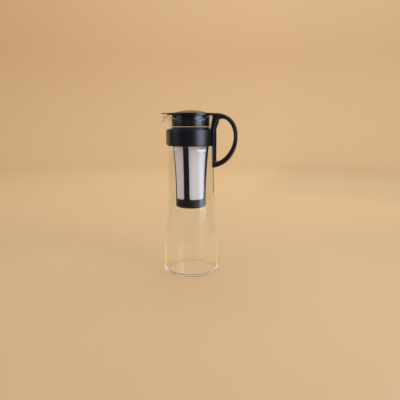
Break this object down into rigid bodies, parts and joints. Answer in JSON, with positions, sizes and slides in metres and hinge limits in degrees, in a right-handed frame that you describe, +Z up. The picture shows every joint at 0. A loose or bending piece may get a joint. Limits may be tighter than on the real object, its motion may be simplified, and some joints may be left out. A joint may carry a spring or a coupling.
{
  "type": "cold brew coffee maker",
  "caption": "Tall glass carafe with a banded loop handle, a clasp, a hanging mesh strainer with a twist-off cap, and a lid with a beak and a plug.",
  "frame": {"origin": "middle of the flat base that the carafe stands on", "axes": "+Z up along the carafe's axis, +X towards the handle, -X towards the spout"},
  "size_m": [0.1409, 0.1, 0.2977],
  "materials": {
    "clear_glass": "clear heat-proof glass, fire-polished rim",
    "black_plastic": "black moulded polypropylene, fine satin",
    "lid_plastic": "black moulded polypropylene, half gloss",
    "white_mesh": "fine white polyester mesh",
    "pin_steel": "plain drawn steel"
  },
  "bodies": {
    "carafe": {"glass_carafe": "clear_glass", "neck_band": "black_plastic", "handle": "black_plastic", "clasp_pin": "pin_steel"},
    "clasp": {"band_clasp": "black_plastic"},
    "strainer": {"strainer_frame": "black_plastic", "strainer_mesh": "white_mesh"},
    "cap": {"strainer_cap": "black_plastic"},
    "lid": {"lid_cover": "lid_plastic", "lid_plug": "lid_plastic"}
  },
  "joints": [
    {"name": "clasp_flip", "type": "hinge", "parent": "carafe", "child": "clasp", "pos_m": [-0.04151, 0.0085, 0.24915], "axis": [0, 0, -1], "range_deg": [0, 75]},
    {"name": "strainer_lift", "type": "slide", "parent": "carafe", "child": "strainer", "axis": [0, 0, 1], "range_m": [0, 0.175]},
    {"name": "cap_twist", "type": "hinge", "parent": "strainer", "child": "cap", "pos_m": [0, 0, 0.133], "axis": [0, 0, 1], "range_deg": [0, 40]},
    {"name": "lid_lift", "type": "slide", "parent": "strainer", "child": "lid", "axis": [0, 0, 1], "range_m": [0, 0.06]}
  ]
}
